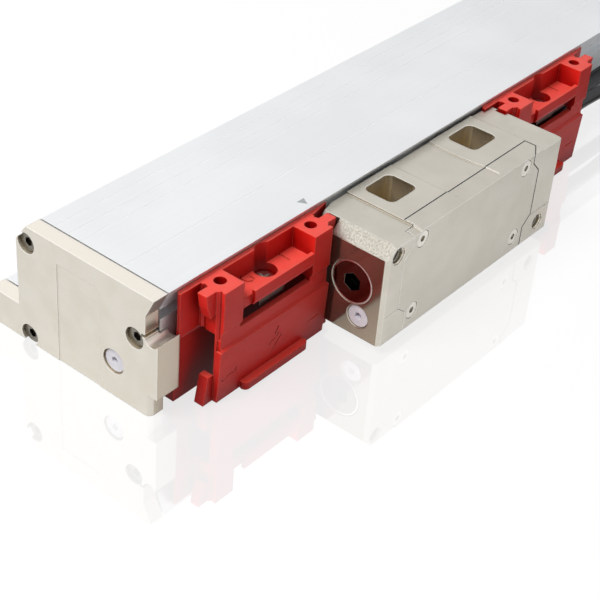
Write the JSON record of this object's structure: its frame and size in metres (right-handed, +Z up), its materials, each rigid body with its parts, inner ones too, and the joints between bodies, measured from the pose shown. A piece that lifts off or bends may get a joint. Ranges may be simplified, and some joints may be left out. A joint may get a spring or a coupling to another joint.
{
  "type": "linear glass scale",
  "caption": "Sealed linear encoder: an aluminium housing holds a glass scale, and a scanning head slides along it between two screwed shipping braces, with a cable lead.",
  "frame": {"origin": "centre of the mounting face, on the plane that the housing is bolted to", "axes": "+X along the measuring direction, away from the end where the head is held for shipping; +Y towards the back flange, away from the scanning head; +Z up from the mounting face"},
  "size_m": [0.398, 0.1491, 0.0373],
  "materials": {
    "anodised_aluminium": "satin anodised",
    "nickel_plated_cap": "blasted and nickel plated die casting",
    "black_rubber": "matt",
    "steel_screw": "zinc flake",
    "white_plastic": "moulded",
    "optical_glass": "polished",
    "elastic_bead": "matt",
    "black_elastomer": "matt",
    "red_moulded_plastic": "moulded, satin",
    "zinc_plated_screw": "zinc plated",
    "zinc_plated_nut": "zinc plated",
    "nickel_plated_head": "blasted and nickel plated",
    "nickel_plated_cover": "blasted and nickel plated",
    "nickel_plated_screw": "nickel plated",
    "machined_plug": "turned and nickel plated",
    "circuit_board": "solder mask",
    "spring_steel": "rolled",
    "carriage_aluminium": "die cast",
    "bearing_steel": "ground",
    "lamp_housing": "moulded",
    "reticle_glass": "polished",
    "cable_jacket": "polyurethane, satin",
    "nickel_plated_brass": "nickel plated",
    "black_plastic": "moulded"
  },
  "bodies": {
    "scale": {"housing": "anodised_aluminium", "end_cap_left": "nickel_plated_cap", "end_cap_right": "nickel_plated_cap", "end_gaskets": "black_rubber", "cap_screws": "steel_screw", "cap_air_plugs": "white_plastic", "glass_scale": "optical_glass", "scale_beads": "elastic_bead", "lip_upper": "black_elastomer", "lip_lower": "black_elastomer"},
    "brace_left": {"brace_left": "red_moulded_plastic", "brace_left_screw": "zinc_plated_screw", "brace_left_nut": "zinc_plated_nut"},
    "head": {"head_block": "nickel_plated_head", "head_cover": "nickel_plated_cover", "cover_gasket": "black_rubber", "cover_screws": "nickel_plated_screw", "blanking_plug": "machined_plug", "head_air_plug": "white_plastic", "head_board": "circuit_board", "coupling_blade": "spring_steel", "blade_screws": "steel_screw", "coupling_spring": "spring_steel", "carriage_frame": "carriage_aluminium", "roller_pins": "bearing_steel", "lamp": "lamp_housing", "reticle": "reticle_glass", "detector_board": "circuit_board", "cable_ferrule": "bearing_steel", "cable_lead": "cable_jacket", "cable_coil": "cable_jacket", "cable_tail": "cable_jacket", "connector_body": "nickel_plated_brass", "connector_insert": "black_plastic"},
    "roller_1": {"roller_1": "bearing_steel"},
    "roller_2": {"roller_2": "bearing_steel"},
    "roller_3": {"roller_3": "bearing_steel"},
    "roller_4": {"roller_4": "bearing_steel"},
    "roller_5": {"roller_5": "bearing_steel"},
    "connector_ring": {"connector_ring": "nickel_plated_brass"},
    "brace_right": {"brace_right": "red_moulded_plastic", "brace_right_screw": "zinc_plated_screw", "brace_right_nut": "zinc_plated_nut"}
  },
  "joints": [
    {"name": "brace_left_slide", "type": "slide", "parent": "scale", "child": "brace_left", "axis": [1, 0, 0], "range_m": [0, 0.01]},
    {"name": "head_slide", "type": "slide", "parent": "brace_left", "child": "head", "axis": [1, 0, 0], "range_m": [0, 0.17]},
    {"name": "roller_1_spin", "type": "hinge", "parent": "head", "child": "roller_1", "pos_m": [-0.1149, -0.0128, 0.0254], "axis": [0, 0, 1], "range_deg": [-15, 3261.8]},
    {"name": "roller_2_spin", "type": "hinge", "parent": "head", "child": "roller_2", "pos_m": [-0.0749, -0.0128, 0.0254], "axis": [0, 0, 1], "range_deg": [-15, 3261.8]},
    {"name": "roller_3_spin", "type": "hinge", "parent": "head", "child": "roller_3", "pos_m": [-0.0949, -0.0128, 0.0186], "axis": [0, 0, 1], "range_deg": [-15, 3261.8]},
    {"name": "roller_4_spin", "type": "hinge", "parent": "head", "child": "roller_4", "pos_m": [-0.1049, -0.007, 0.0087], "axis": [0, -1, 0], "range_deg": [-15, 3261.8]},
    {"name": "roller_5_spin", "type": "hinge", "parent": "head", "child": "roller_5", "pos_m": [-0.0849, -0.007, 0.0087], "axis": [0, -1, 0], "range_deg": [-15, 3261.8]},
    {"name": "connector_ring_turn", "type": "hinge", "parent": "head", "child": "connector_ring", "pos_m": [-0.0075, -0.11, 0.0131], "axis": [1, 0, 0], "continuous": true},
    {"name": "brace_right_slide", "type": "slide", "parent": "head", "child": "brace_right", "axis": [1, 0, 0], "range_m": [0, 0.01]}
  ],
  "couplings": [
    {"joint": "roller_1_spin", "follows": "head_slide", "rad_per_m": 333.33},
    {"joint": "roller_2_spin", "follows": "head_slide", "rad_per_m": 333.33},
    {"joint": "roller_3_spin", "follows": "head_slide", "rad_per_m": 333.33},
    {"joint": "roller_4_spin", "follows": "head_slide", "rad_per_m": 333.33},
    {"joint": "roller_5_spin", "follows": "head_slide", "rad_per_m": 333.33}
  ]
}
